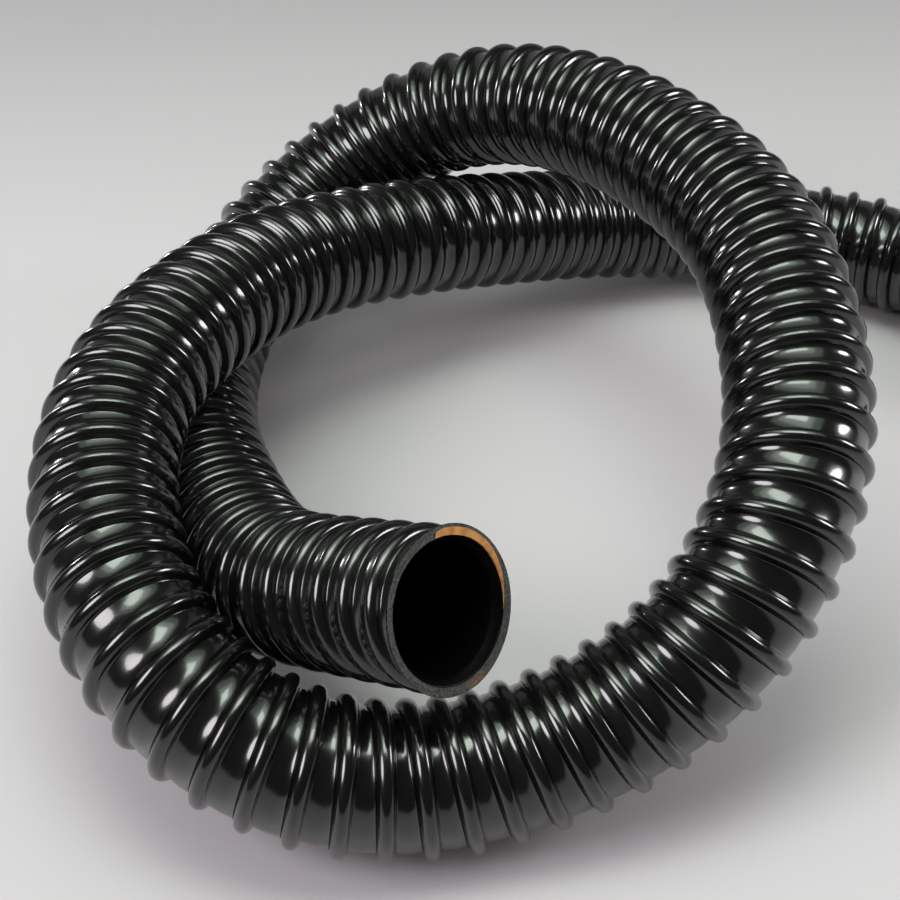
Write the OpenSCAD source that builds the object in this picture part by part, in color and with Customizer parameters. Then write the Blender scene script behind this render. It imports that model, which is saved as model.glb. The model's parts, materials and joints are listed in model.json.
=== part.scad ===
// Ribbed suction hose for pool and spa vacuuming, lying in a loose double loop.
// A smooth liner carries the water, a rigid core winds round it as a right-handed spiral,
// and a soft cover is moulded over both, so each turn of the core stands up as a rib.
// Each of the three is modelled in three stretches: the straight cut end, the long run
// and the straight far end. Both ends are plain saw cuts, open to the bore.
// Millimetres. +Z is up, the floor is z = 0 and the origin is the middle of the base.

/* [Bore] */
// Clear bore of the hose
bore_d = 38; // [34:0.5:44]
// Thickness of the smooth liner
liner_t = 0.8; // [0.7:0.1:1]

/* [Cover] */
// Thickness of the cover between two ribs
web_t = 0.9; // [0.9:0.1:1.3]
// Height of a rib above the web
rib_h = 2.8; // [2.4:0.1:3.4]
// Width of a rib at its foot, along the hose
rib_w = 6.2; // [5.8:0.1:6.8]
// Width of a rib's rounded top, along the hose
rib_top = 2.2; // [2:0.1:2.6]
// Distance from one rib to the next, along the hose
rib_pitch = 11.2; // [11:0.1:14]
// Distance of the first crest from the cut end, where it passes the hose's left side
rib_start = 6.8; // [6:0.1:8]

/* [Spiral core] */
// Width of the core's base, along the hose
core_w = 4; // [3.6:0.1:4.2]
// Width of the core's top, along the hose
core_top = 2; // [1.6:0.1:2]
// Cover left over the core
core_skin = 0.5; // [0.5:0.1:0.8]
// Cover left under the core
core_bed = 0.15; // [0.15:0.05:0.3]
// Whole turns of the core in each end piece
core_turns = 2; // [1:1:3]

/* [Ends] */
// Straight stretch at each end
end_l = 47; // [44:1:60]

/* [Hidden] */
$fn = 96;

bore_r = bore_d / 2;
liner_r = bore_r + liner_t;
web_r = liner_r + web_t;
crest_r = web_r + rib_h;
// A faceted hose that lies on the floor is cut flat underneath by a tenth of its diameter
flat_depth = crest_r / 5;
// How far a cutting cylinder runs past the faces that it opens
cut_over = 1;

// The route of the hose's centreline, for a hose of this crest radius, with z above the floor.
// The points steer a smooth curve. It starts after the cut end's straight stretch, comes down
// to the floor, climbs over the strand below, goes round, and lies on the floor to the far end.
route_r = 23.5;
lying = route_r;
far_lift = route_r / 5;
route = [
    [-113, -112, 59], [-140, -90, 42], [-162, -33, 26], [-178, 11, 24], [-178, 69, 23],
    [-159, 111, 41], [-121, 139, 67], [-77, 136, 93], [-35, 104, 109], [-2, 63, 111],
    [24, 16, 108], [30, -36, 97], [26, -85, 83], [3, -124, 57], [-34, -140, 31],
    [-84, -153, 20], [-132, -155, 31], [-171, -130, 53], [-190, -80, 63], [-191, -28, 71],
    [-168, 18, 74], [-141, 64, 64], [-97, 90, 58], [-59, 115, 46], [-18, 144, 32],
    [32, 154, lying], [82, 147, lying], [126, 121, lying + far_lift], [152, 97, lying + far_lift]
];
// Points of the smooth curve for each point of the route
route_steps = 10;
// Half of the step over which the curve's direction is measured
tangent_step = 4;
// Strands less than three diameters apart along the hose are the same bend, not neighbours
neighbour_l = 6 * crest_r;

// Facets round the run and the end pieces, and the run's liner rings, in ribs
run_sides = 8;
end_sides = 12;
liner_step = 2.1;
// An outline point nearer to a stretch's end than this share of the pitch is left out
end_share = 0.03;

function unit(v) = v / norm(v);
function part_sum(list, i) = i < 0 ? 0 : list[i] + part_sum(list, i - 1);

// Uniform cubic B-spline through four points, t from 0 to 1
function spline_point(a, b, c, d, t) =
    (a * pow(1 - t, 3) + b * (3 * pow(t, 3) - 6 * t * t + 4)
    + c * (-3 * pow(t, 3) + 3 * t * t + 3 * t + 1) + d * pow(t, 3)) / 6;

laid = [for (p = route) p * crest_r / route_r - [0, 0, flat_depth]];
last = len(laid) - 1;
steer = concat([2 * laid[0] - laid[1]], laid, [2 * laid[last] - laid[last - 1]]);
start_dir = unit(laid[1] - laid[0]);
far_dir = unit(laid[last] - laid[last - 1]);
curve = [
    for (k = [0 : last - 1], i = [0 : route_steps - 1])
        spline_point(steer[k], steer[k + 1], steer[k + 2], steer[k + 3], i / route_steps)
];
centre = concat([laid[0] - end_l * start_dir], curve, [laid[last], laid[last] + end_l * far_dir]);
count = len(centre);
along = [
    for (i = 0, s = 0; i < count; s = s + (i + 1 < count ? norm(centre[i + 1] - centre[i]) : 0), i = i + 1) s
];
hose_l = along[count - 1];
run_from = end_l;
run_to = hose_l - end_l;
x_table = [for (i = [0 : count - 1]) [along[i], centre[i].x]];
y_table = [for (i = [0 : count - 1]) [along[i], centre[i].y]];
z_table = [for (i = [0 : count - 1]) [along[i], centre[i].z]];

function place(s) = [lookup(s, x_table), lookup(s, y_table), lookup(s, z_table)];
function direction(s) =
    s <= run_from ? start_dir :
    s >= run_to ? far_dir :
    unit(place(s + tangent_step) - place(s - tangent_step));

// The point at distance s along the hose, at an angle round it from its left side, over its top
function on_hose(s, angle, r) =
    let (
        t = direction(s),
        left = unit(cross([0, 0, 1], t)),
        up = cross(t, left),
        p = place(s) + r * (cos(angle) * left + sin(angle) * up)
    )
    [p.x, p.y, max(0, p.z)];

// Radius of the outside against the phase from one crest to the next, for the two finenesses
function run_profile() = [[0, crest_r], [0.5, web_r], [1, crest_r]];
function end_profile() = let (top = rib_top / 2 / rib_pitch, foot = rib_w / 2 / rib_pitch)
    [[0, crest_r], [top, crest_r], [foot, web_r], [1 - foot, web_r], [1 - top, crest_r], [1, crest_r]];
run_rows = [0, 0.5];
end_rows = let (top = rib_top / 2 / rib_pitch, foot = rib_w / 2 / rib_pitch) [top, foot, 1 - foot, 1 - top];

// The outline's points follow the spiral: column j is a line along the hose, and row k of it lies
// where one phase of the rib crosses that line. A column is closed at both ends of its stretch.
function column_angle(j, sides) = (j + 0.5) * 360 / sides;
function row_s(k, j, rows, sides) =
    let (m = len(rows), turn = floor(k / m))
    rib_start + rib_pitch * (turn + rows[k - turn * m] + column_angle(j, sides) / 360);
function phase(s, j, sides) =
    let (u = (s - rib_start) / rib_pitch - column_angle(j, sides) / 360) u - floor(u);
function guess_row(s, j, rows, sides) =
    floor(((s - rib_start) / rib_pitch - column_angle(j, sides) / 360) * len(rows));
function first_row(s, j, rows, sides, k) =
    row_s(k, j, rows, sides) > s + end_share * rib_pitch ? k : first_row(s, j, rows, sides, k + 1);
function last_row(s, j, rows, sides, k) =
    row_s(k, j, rows, sides) < s - end_share * rib_pitch ? k : last_row(s, j, rows, sides, k - 1);
function lows(from, rows, sides) = [
    for (j = [0 : sides - 1])
        first_row(from, j, rows, sides, guess_row(from, j, rows, sides) - len(rows)) - 1
];
function highs(to, rows, sides) = [
    for (j = [0 : sides - 1])
        last_row(to, j, rows, sides, guess_row(to, j, rows, sides) + len(rows)) + 1
];

// Each outline point as [distance along, angle, radius]
function outline(from, to, rows, sides, profile) =
    let (low = lows(from, rows, sides), high = highs(to, rows, sides))
    [
        for (j = [0 : sides - 1], k = [low[j] : high[j]])
            let (
                s = k == low[j] ? from : k == high[j] ? to : row_s(k, j, rows, sides)
            )
            [s, column_angle(j, sides), lookup(phase(s, j, sides), profile)]
    ];

// Index of row k in column j. The column after the last is the first, one rib further on.
function outline_index(j, k, low, high, starts, rows) =
    let (
        sides = len(low),
        c = j % sides,
        row = k + (j >= sides ? len(rows) : 0)
    )
    starts[c] + min(max(row, low[c]), high[c]) - low[c];
function column_starts(low, high) =
    let (sizes = [for (j = [0 : len(low) - 1]) high[j] - low[j] + 1])
    [for (j = [0 : len(low) - 1]) part_sum(sizes, j - 1)];
function whole(f) = f[0] != f[1] && f[1] != f[2] && f[2] != f[0];
function outline_faces(from, to, rows, sides) =
    let (
        low = lows(from, rows, sides),
        high = highs(to, rows, sides),
        starts = column_starts(low, high)
    )
    [
        for (j = [0 : sides - 1], k = [min(low) - len(rows) : max(high)])
            let (
                a = outline_index(j, k, low, high, starts, rows),
                b = outline_index(j + 1, k, low, high, starts, rows),
                c = outline_index(j + 1, k + 1, low, high, starts, rows),
                d = outline_index(j, k + 1, low, high, starts, rows)
            )
            each [for (f = [[a, b, c], [a, c, d]]) if (whole(f)) f]
    ];
// The outline's points in the end planes, one for each column
function near_ring(from, to, rows, sides) =
    column_starts(lows(from, rows, sides), highs(to, rows, sides));
function far_ring(from, to, rows, sides) =
    let (low = lows(from, rows, sides), high = highs(to, rows, sides), starts = column_starts(low, high))
    [for (j = [0 : sides - 1]) starts[j] + high[j] - low[j]];

// Plain rings along the run, which the cover's inside and both faces of the liner share
liner_rings = round((run_to - run_from) / (liner_step * rib_pitch));
function ring_s(i) = run_from + (run_to - run_from) * i / liner_rings;
function tube_points(r) = [
    for (i = [0 : liner_rings], j = [0 : run_sides - 1])
        on_hose(ring_s(i), column_angle(j, run_sides), r)
];
function tube_faces(first, outward) = [
    for (i = [0 : liner_rings - 1], j = [0 : run_sides - 1])
        let (
            a = first + i * run_sides + j,
            b = first + i * run_sides + (j + 1) % run_sides,
            c = b + run_sides,
            d = a + run_sides
        )
        each outward ? [[a, b, c], [a, c, d]] : [[a, c, b], [a, d, c]]
];
// A flat ring of faces between two rings of points; facing the cut end when near is true
function annulus(outer, inner, near) = [
    for (j = [0 : len(outer) - 1])
        let (n = (j + 1) % len(outer))
        each near ? [[outer[j], inner[n], outer[n]], [outer[j], inner[j], inner[n]]]
            : [[outer[j], outer[n], inner[n]], [outer[j], inner[n], inner[j]]]
];
function ring_list(first) = [for (j = [0 : run_sides - 1]) first + j];

run_outline = [
    for (v = outline(run_from, run_to, run_rows, run_sides, run_profile())) on_hose(v[0], v[1], v[2])
];
end_outlines = [
    for (v = outline(0, end_l, end_rows, end_sides, end_profile())) on_hose(v[0], v[1], v[2]),
    for (v = outline(run_to, hose_l, end_rows, end_sides, end_profile())) on_hose(v[0], v[1], v[2])
];
outside = concat(run_outline, end_outlines);
middle = [
    (min([for (p = outside) p.x]) + max([for (p = outside) p.x])) / 2,
    (min([for (p = outside) p.y]) + max([for (p = outside) p.y])) / 2,
    0
];

// Distance from point p to the straight piece from a to b
function to_piece(p, a, b) =
    let (t = min(1, max(0, (p - a) * (b - a) / ((b - a) * (b - a))))) norm(p - a - t * (b - a));
least_gap = min([
    for (i = [0 : count - 2], k = [i + 1 : count - 2])
        if (along[k] - along[i] > neighbour_l) to_piece(centre[i], centre[k], centre[k + 1])
]) - 2 * crest_r;

// Puts a straight piece, drawn along +Z from its own start, at distance s along the hose
module at_hose(s) {
    t = direction(s);
    left = unit(cross([0, 0, 1], t));
    up = cross(t, left);
    p = place(s);
    multmatrix([
        [left.x, up.x, t.x, p.x],
        [left.y, up.y, t.y, p.y],
        [left.z, up.z, t.z, p.z],
        [0, 0, 0, 1]
    ]) children();
}

module about_middle() {
    translate(-middle) children();
}

// Ribbed outside of a straight stretch, drawn along +Z and closed at both ends
module ribbed_bar(from, to) {
    bar_points = [
        for (v = outline(from, to, end_rows, end_sides, end_profile()))
            [v[2] * cos(v[1]), v[2] * sin(v[1]), v[0] - from]
    ];
    near = near_ring(from, to, end_rows, end_sides);
    far = far_ring(from, to, end_rows, end_sides);
    caps = [
        for (j = [1 : end_sides - 2])
            each [[near[0], near[j + 1], near[j]], [far[0], far[j], far[j + 1]]]
    ];
    polyhedron(bar_points, reversed(concat(outline_faces(from, to, end_rows, end_sides), caps)));
}

function reversed(faces) = [for (f = faces) [f[0], f[2], f[1]]];

// The core's columns fall on the end pieces' own columns, so their facets stay parallel
core_in_r = liner_r / cos(180 / end_sides) + core_bed;
core_out_r = crest_r - core_skin;
function core_s(j) = rib_start + rib_pitch * (j + 0.5) / end_sides;
function core_column(s) = end_sides * (s - rib_start) / rib_pitch - 0.5;
// Columns that the core crosses while its width passes through a cut face
core_exit = ceil(end_sides * core_w / rib_pitch);

// Rigid spiral from column j_from to column j_to, drawn along +Z from distance s_from
module spiral(j_from, j_to, s_from) {
    section = [
        [core_in_r, -core_w / 2], [core_out_r, -core_top / 2],
        [core_out_r, core_top / 2], [core_in_r, core_w / 2]
    ];
    points = [
        for (j = [j_from : j_to], q = section)
            let (angle = column_angle(j, end_sides))
            [q[0] * cos(angle), q[0] * sin(angle), core_s(j) + q[1] - s_from]
    ];
    steps = j_to - j_from;
    sides = [
        for (i = [0 : steps - 1], q = [0 : 3])
            let (a = 4 * i + q, b = 4 * i + (q + 1) % 4)
            each [[a, b, b + 4], [a, b + 4, a + 4]]
    ];
    end = 4 * steps;
    caps = [[0, 2, 1], [0, 3, 2], [end, end + 1, end + 2], [end, end + 2, end + 3]];
    polyhedron(points, concat(sides, caps));
}
module cut_end_spiral() {
    first = floor(core_column(-core_w / 2)) - 1;
    spiral(first, first + 1 + core_exit + core_turns * end_sides, 0);
}
module far_end_spiral() {
    final = ceil(core_column(hose_l + core_w / 2)) + 1;
    spiral(final - 1 - core_exit - core_turns * end_sides, final, run_to);
}
// The ribbed outside with the core's channel cut into it. The empty resize leaves the size
// alone, and keeps the many small facets together as one piece for the round hole to cut.
module channelled_bar(from, to) {
    resize([0, 0, 0])
        difference() {
            ribbed_bar(from, to);
            children();
        }
}
module end_slab() {
    cylinder(r = crest_r + cut_over, h = end_l);
}
module lined_hole(r) {
    translate([0, 0, -cut_over]) cylinder(r = r, h = end_l + 2 * cut_over);
}

module cut_end_cover() {
    color("#232524")
        about_middle()
            at_hose(0)
                difference() {
                    channelled_bar(0, end_l) cut_end_spiral();
                    lined_hole(liner_r);
                }
}

module cut_end_liner() {
    color("#161717")
        about_middle()
            at_hose(0)
                difference() {
                    cylinder(r = liner_r, h = end_l);
                    lined_hole(bore_r);
                }
}

module cut_end_core() {
    color("#d59a55")
        about_middle()
            at_hose(0)
                intersection() {
                    cut_end_spiral();
                    end_slab();
                }
}

module run_cover() {
    inner = len(run_outline);
    far_inner = inner + liner_rings * run_sides;
    faces = concat(
        outline_faces(run_from, run_to, run_rows, run_sides),
        tube_faces(inner, false),
        annulus(near_ring(run_from, run_to, run_rows, run_sides), ring_list(inner), true),
        annulus(far_ring(run_from, run_to, run_rows, run_sides), ring_list(far_inner), false)
    );
    color("#232524")
        about_middle()
            polyhedron(concat(run_outline, tube_points(liner_r)), reversed(faces));
}

module run_liner() {
    inner = (liner_rings + 1) * run_sides;
    far_outer = liner_rings * run_sides;
    faces = concat(
        tube_faces(0, true),
        tube_faces(inner, false),
        annulus(ring_list(0), ring_list(inner), true),
        annulus(ring_list(far_outer), ring_list(inner + far_outer), false)
    );
    color("#161717")
        about_middle()
            polyhedron(concat(tube_points(liner_r), tube_points(bore_r)), reversed(faces));
}

module far_end_cover() {
    color("#232524")
        about_middle()
            at_hose(run_to)
                difference() {
                    channelled_bar(run_to, hose_l) far_end_spiral();
                    lined_hole(liner_r);
                }
}

module far_end_liner() {
    color("#161717")
        about_middle()
            at_hose(run_to)
                difference() {
                    cylinder(r = liner_r, h = end_l);
                    lined_hole(bore_r);
                }
}

module far_end_core() {
    color("#d59a55")
        about_middle()
            at_hose(run_to)
                intersection() {
                    far_end_spiral();
                    end_slab();
                }
}

echo(str("Hose length, mm: ", hose_l));
echo(str("Ribs: ", floor(hose_l / rib_pitch)));
echo(str("Least gap to itself, mm: ", least_gap));
echo(str("Cut end's mouth, mm: ", place(0) - middle, ", hose leaves it along ", start_dir));
echo(str("Far end's mouth, mm: ", place(hose_l) - middle, ", hose reaches it along ", far_dir));

cut_end_cover();
cut_end_liner();
cut_end_core();
run_cover();
run_liner();
far_end_cover();
far_end_liner();
far_end_core();
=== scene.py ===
"""Ribbed suction hose for pool and spa vacuuming, lying in a loose double loop.

A smooth liner, a rigid spiral core and a glossy black cover, cut off plain at both ends.
"""

import json
import math

import bpy
from bpy.props import FloatProperty, FloatVectorProperty, PointerProperty
from mathutils import Vector
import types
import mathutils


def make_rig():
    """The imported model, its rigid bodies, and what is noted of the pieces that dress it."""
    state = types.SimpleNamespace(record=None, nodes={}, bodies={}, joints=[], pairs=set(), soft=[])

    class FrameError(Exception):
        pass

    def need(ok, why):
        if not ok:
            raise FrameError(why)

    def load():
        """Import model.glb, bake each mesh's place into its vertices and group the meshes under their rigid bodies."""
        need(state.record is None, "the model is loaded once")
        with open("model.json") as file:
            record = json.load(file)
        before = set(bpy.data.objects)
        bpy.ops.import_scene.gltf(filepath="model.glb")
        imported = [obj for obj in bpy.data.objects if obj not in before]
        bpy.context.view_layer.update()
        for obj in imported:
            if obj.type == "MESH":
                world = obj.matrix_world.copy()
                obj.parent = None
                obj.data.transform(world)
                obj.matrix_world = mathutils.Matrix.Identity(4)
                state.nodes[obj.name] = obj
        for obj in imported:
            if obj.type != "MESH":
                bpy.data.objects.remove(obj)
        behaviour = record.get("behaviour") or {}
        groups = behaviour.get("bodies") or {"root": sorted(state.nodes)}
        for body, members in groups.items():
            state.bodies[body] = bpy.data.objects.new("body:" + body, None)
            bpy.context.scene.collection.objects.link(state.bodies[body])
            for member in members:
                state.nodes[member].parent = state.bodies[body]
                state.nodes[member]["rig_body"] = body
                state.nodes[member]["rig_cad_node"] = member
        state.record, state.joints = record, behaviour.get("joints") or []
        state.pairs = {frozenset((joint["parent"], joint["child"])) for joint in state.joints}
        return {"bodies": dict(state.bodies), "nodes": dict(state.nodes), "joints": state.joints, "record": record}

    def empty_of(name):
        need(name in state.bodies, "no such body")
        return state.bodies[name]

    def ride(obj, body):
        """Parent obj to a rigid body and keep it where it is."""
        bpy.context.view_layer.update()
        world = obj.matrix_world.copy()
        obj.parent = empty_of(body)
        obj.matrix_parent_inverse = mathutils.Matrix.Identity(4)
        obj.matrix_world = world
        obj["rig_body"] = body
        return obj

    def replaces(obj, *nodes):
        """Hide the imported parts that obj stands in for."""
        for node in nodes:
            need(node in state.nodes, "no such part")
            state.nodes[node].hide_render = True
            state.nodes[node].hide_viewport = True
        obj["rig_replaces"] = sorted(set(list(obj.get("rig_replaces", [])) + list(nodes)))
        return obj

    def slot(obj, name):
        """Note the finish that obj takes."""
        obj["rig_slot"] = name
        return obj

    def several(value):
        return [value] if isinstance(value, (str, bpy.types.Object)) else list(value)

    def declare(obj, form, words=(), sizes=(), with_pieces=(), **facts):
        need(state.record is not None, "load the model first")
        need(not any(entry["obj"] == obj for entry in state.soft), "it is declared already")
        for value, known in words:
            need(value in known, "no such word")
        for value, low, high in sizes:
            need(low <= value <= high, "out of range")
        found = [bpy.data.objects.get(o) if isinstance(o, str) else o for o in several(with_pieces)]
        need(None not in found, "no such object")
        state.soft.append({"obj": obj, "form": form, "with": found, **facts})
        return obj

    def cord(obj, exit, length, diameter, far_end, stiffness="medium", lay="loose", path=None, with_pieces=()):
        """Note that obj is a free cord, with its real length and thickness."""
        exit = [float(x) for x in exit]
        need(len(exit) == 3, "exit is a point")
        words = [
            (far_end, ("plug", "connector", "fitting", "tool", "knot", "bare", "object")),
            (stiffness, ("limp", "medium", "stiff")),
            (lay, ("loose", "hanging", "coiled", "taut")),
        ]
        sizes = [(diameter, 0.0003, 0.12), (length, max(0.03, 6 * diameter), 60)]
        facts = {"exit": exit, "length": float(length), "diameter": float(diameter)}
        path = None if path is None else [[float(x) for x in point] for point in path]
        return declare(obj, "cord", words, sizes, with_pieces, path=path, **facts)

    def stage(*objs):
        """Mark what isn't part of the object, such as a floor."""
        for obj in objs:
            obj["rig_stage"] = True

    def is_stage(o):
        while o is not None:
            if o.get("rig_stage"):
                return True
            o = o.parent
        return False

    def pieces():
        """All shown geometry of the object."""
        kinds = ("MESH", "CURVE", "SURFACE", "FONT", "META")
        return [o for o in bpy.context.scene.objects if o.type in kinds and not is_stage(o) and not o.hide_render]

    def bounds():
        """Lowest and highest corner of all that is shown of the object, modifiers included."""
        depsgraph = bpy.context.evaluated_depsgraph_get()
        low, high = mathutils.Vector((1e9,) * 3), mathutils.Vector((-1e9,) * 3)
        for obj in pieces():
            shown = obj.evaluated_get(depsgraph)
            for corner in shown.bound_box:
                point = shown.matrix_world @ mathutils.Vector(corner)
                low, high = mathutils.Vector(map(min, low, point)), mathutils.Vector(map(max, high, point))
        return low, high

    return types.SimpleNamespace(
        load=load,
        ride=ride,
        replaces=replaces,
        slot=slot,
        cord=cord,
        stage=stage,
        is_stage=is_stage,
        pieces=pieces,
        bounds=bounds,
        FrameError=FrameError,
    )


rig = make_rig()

bl_info = {
    "name": "Ribbed Suction Hose",
    "version": (1, 0, 0),
    "blender": (4, 5, 0),
    "location": "View3D > Sidebar > Hose",
    "description": "Builds a spiral-ribbed suction hose lying in a loose double loop",
    "category": "Object",
}

MM = 0.001
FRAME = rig.load()
CAD_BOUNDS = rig.bounds()
MOUNTS = {mount["name"]: mount for mount in FRAME["record"]["mounts"]}
BORE_R = MOUNTS["cut_end_bore"]["dims"]["r_mm"] * MM
MOUTH = Vector(MOUNTS["cut_end_bore"]["pos_m"])

# Hose sizes, in metres. The ends are straight, and the first crest lies RIB_START from the cut.
LINER_T = 0.8 * MM
WEB_T = 0.9 * MM
RIB_H = 2.8 * MM
RIB_PITCH = 11.2 * MM
RIB_START = 6.8 * MM
END_LENGTH = 47 * MM
WEB_R = BORE_R + LINER_T + WEB_T
CREST_R = WEB_R + RIB_H

# The points that steer the centreline, with z above the floor, before the part is centred. Where
# the hose lies on the floor, its centre is LYING above it.
LYING = CREST_R
ROUTE = [
    (-0.113, -0.112, 0.059), (-0.140, -0.090, 0.042), (-0.162, -0.033, 0.026),
    (-0.178, 0.011, 0.024), (-0.178, 0.069, 0.023), (-0.159, 0.111, 0.041),
    (-0.121, 0.139, 0.067), (-0.077, 0.136, 0.093), (-0.035, 0.104, 0.109),
    (-0.002, 0.063, 0.111), (0.024, 0.016, 0.108), (0.030, -0.036, 0.097),
    (0.026, -0.085, 0.083), (0.003, -0.124, 0.057), (-0.034, -0.140, 0.031),
    (-0.084, -0.153, 0.020), (-0.132, -0.155, 0.031), (-0.171, -0.130, 0.053),
    (-0.190, -0.080, 0.063), (-0.191, -0.028, 0.071), (-0.168, 0.018, 0.074),
    (-0.141, 0.064, 0.064), (-0.097, 0.090, 0.058), (-0.059, 0.115, 0.046),
    (-0.018, 0.144, 0.032), (0.032, 0.154, LYING), (0.082, 0.147, LYING),
    (0.126, 0.121, LYING), (0.152, 0.097, LYING),
]
# How many points the centreline has for each of the route's. The cord's path takes one in
# PATH_STEP of them.
CURVE_STEPS = 24
PATH_STEP = 3

# One rib's section from mid web to mid web, in mm: distance from the crest, height above the web
RIB_SECTION = [
    (-5.60, 0.10), (-3.15, -0.10), (-2.70, 0.08), (-2.50, 0.90), (-1.95, 1.95), (-1.05, 2.62),
    (0.00, 2.80), (1.05, 2.62), (1.95, 1.95), (2.50, 0.90), (2.72, 0.14), (3.05, 0.40),
    (3.35, -0.04),
]
# Ribs made past each end, to be folded into it
SPARE_RIBS = 2
# Ribs keep their width in a bend, which is measured this far to either side. On its inside they
# may widen along the centreline by BEND_LIMIT.
BEND_REACH = 6 * MM
BEND_LIMIT = 1.45

# The sawn mouth is spread a little over its first MOUTH_DEPTH, by the power MOUTH_FLARE. In the
# cut, the radii of its bore and its lip are given in mm, against the turn from the hose's left.
MOUTH_DEPTH = 2.6 * MM
MOUTH_FLARE = 1.6
MOUTH_BORE = [
    (0.00, 20.8), (0.083, 20.9), (0.17, 20.8), (0.25, 20.5), (0.33, 20.5), (0.45, 21.2),
    (0.583, 21.6), (0.70, 21.5), (0.83, 21.2), (0.92, 20.9), (1.00, 20.8),
]
MOUTH_LIP = [
    (0.00, 22.9), (0.083, 22.9), (0.17, 23.1), (0.25, 23.3), (0.37, 24.0), (0.50, 24.5),
    (0.63, 24.6), (0.75, 24.5), (0.87, 23.8), (0.94, 23.2), (1.00, 22.9),
]
# The lip's section: distance from the cut in mm, and the share of the way from the web to the lip
LIP_SECTION = [
    (0.0, 0.3), (0.0, 0.6), (0.0, 0.9), (0.05, 1.0), (0.35, 0.96), (0.75, 0.8), (1.2, 0.55),
    (1.8, 0.2), (2.6, -0.12), (2.6, -0.3), (1.3, 0.0),
]

# Sides round the hose and rings along it, of which the first lie in the mouth
SIDES = 52
LINER_RINGS = 140
MOUTH_RINGS = 8

# The sawn faces: sides and rings; where the front lies, and the section's back, as in the lip;
# how far each keeps from the outer edge; and how deep it is torn, in grains of what size
FACE_SIDES = 208
FACE_RINGS = 12
FACE_FRONT = -0.1
FACE_BACK = [(0.35, 1.0), (0.6, 0.6), (0.6, 0.2), (0.35, 0.0)]
CUT_FACE_INSET = 0.25 * MM
FAR_FACE_INSET = 0.3 * MM
TEAR_REACH = 0.14 * MM
TEAR_GRAIN = 0.8 * MM

# The core's section in mm, as distance from the crest and radius; its turns at each end and the
# steps in each; how far it stands proud of the cut; and how deep its last turns go, in mm
CORE_SECTION = [
    (-1.75, 20.65), (-1.2, 21.6), (-0.5, 22.6), (0.3, 22.9), (0.9, 22.8), (1.15, 22.3),
    (1.2, 20.65), (0.0, 20.6),
]
CORE_TURNS = 3
CORE_STEPS = 48
CORE_PROUD = 0.4 * MM
CORE_DEPTH = 45.0
# The middle of the smear that the saw left under the mouth
SMEAR = MOUTH + Vector((7.2, -6.8, -20.2)) * MM

# Points closer than this are welded in a wall, and in a solid that is about to be cut, and a row
# that is moved by less than the last stays where it is
WELD = 0.02 * MM
CUT_WELD = 0.01 * MM
SAME_PLACE = 0.001 * MM
# Edges sharper than this stay sharp
RIM_ANGLE = math.radians(60)

# The view: place in metres from the route's own origin, degrees down from level, focal length and
# sensor width in mm, and the nearest distance that shows
CAMERA_PLACE = (-0.080, -0.425, 0.3728)
CAMERA_TILT = 39.57
CAMERA_LENS = 59.89
CAMERA_SENSOR = 36
CAMERA_NEAR = 0.01

# The board: how far it goes each way, where the painted shade that darkens it towards its back starts and stops,
# and what share of its tone that painted shade leaves there
BOARD_SIZE = 30.0
BOARD_SHADE_SPAN = (0.12, 0.45)
BOARD_SHADED_SHARE = 0.76

# Each lamp: where it stands, what it points at, width, height, watts, colour. Round if no height.
LAMPS = {
    "ceiling_panel": ((-0.10, -0.02, 1.15), (-0.10, -0.02, 0.0), 0.6, 0.36, 4.8, "#f2fff3"),
    "ceiling_rim": ((-0.10, 0.11, 1.16), (-0.10, 0.11, 0.0), 1.0, 0.6, 3.2, "#f0fff1"),
    "ceiling_wash": ((-0.10, 0.20, 1.17), (-0.10, 0.20, 0.0), 1.6, 0.9, 4, "#ecffec"),
    "ceiling_fill": ((-0.10, 0.00, 1.25), (-0.10, 0.00, 0.0), 2.4, 2.2, 1, "#fdfefc"),
    "front_fill": ((-0.50, -1.20, 1.00), (-0.1, 0.0, 0.0), 1.0, 1.0, 1.5, "#fffcff"),
    "lamp_left_back": ((-1.28, 0.99, 0.23), (-0.15, 0.0, 0.05), 0.2, 0.0, 4, "#ffffff"),
    "window_right": ((1.27, 0.2, 0.65), (0.05, -0.05, 0.05), 0.45, 0.0, 8.5, "#ffffff"),
    "lamp_left_front": ((-1.02, -0.55, 0.95), (-0.1, -0.1, 0.05), 0.72, 0.0, 14.5, "#fffaff"),
    "wall_behind": ((-0.10, 2.30, 0.75), (-0.1, 0.0, 0.75), 4.0, 1.5, 3, "#f2f6f2"),
}
# These only even out the light, too wide and dim to show in the gloss
FILLS = ("ceiling_fill", "front_fill")
# The room's own light, and how little of it shows in the gloss, where its walls are dim
ROOM_LIGHT = 0.72
ROOM_GLOSS = 0.08

# Kinds of node used throughout, and a colour mix's sockets
MATH = "ShaderNodeMath"
VECTOR_MATH = "ShaderNodeVectorMath"
MAP_RANGE = "ShaderNodeMapRange"
MIX_A, MIX_B, MIXED = 6, 7, 2


def linear(code):
    """An sRGB hex colour as linear RGBA."""
    parts = [int(code[i : i + 2], 16) / 255 for i in (1, 3, 5)]
    return [c / 12.92 if c <= 0.04045 else ((c + 0.055) / 1.055) ** 2.4 for c in parts] + [1.0]


def add_node(tree, kind, inputs=(), **settings):
    """Adds a node with its settings and links.

    inputs holds values in the sockets' order, or by a socket's name or number. A value is a
    constant, a node's output, or a node, which stands for its first output.
    """
    node = tree.nodes.new(kind)
    for name, value in settings.items():
        setattr(node, name, value)
    by_socket = inputs if isinstance(inputs, dict) else dict(enumerate(inputs))
    for socket, value in by_socket.items():
        if isinstance(value, bpy.types.Node):
            value = value.outputs[0]
        if isinstance(value, bpy.types.NodeSocket):
            tree.links.new(value, node.inputs[socket])
        else:
            node.inputs[socket].default_value = value
    return node


# The centreline


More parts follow.
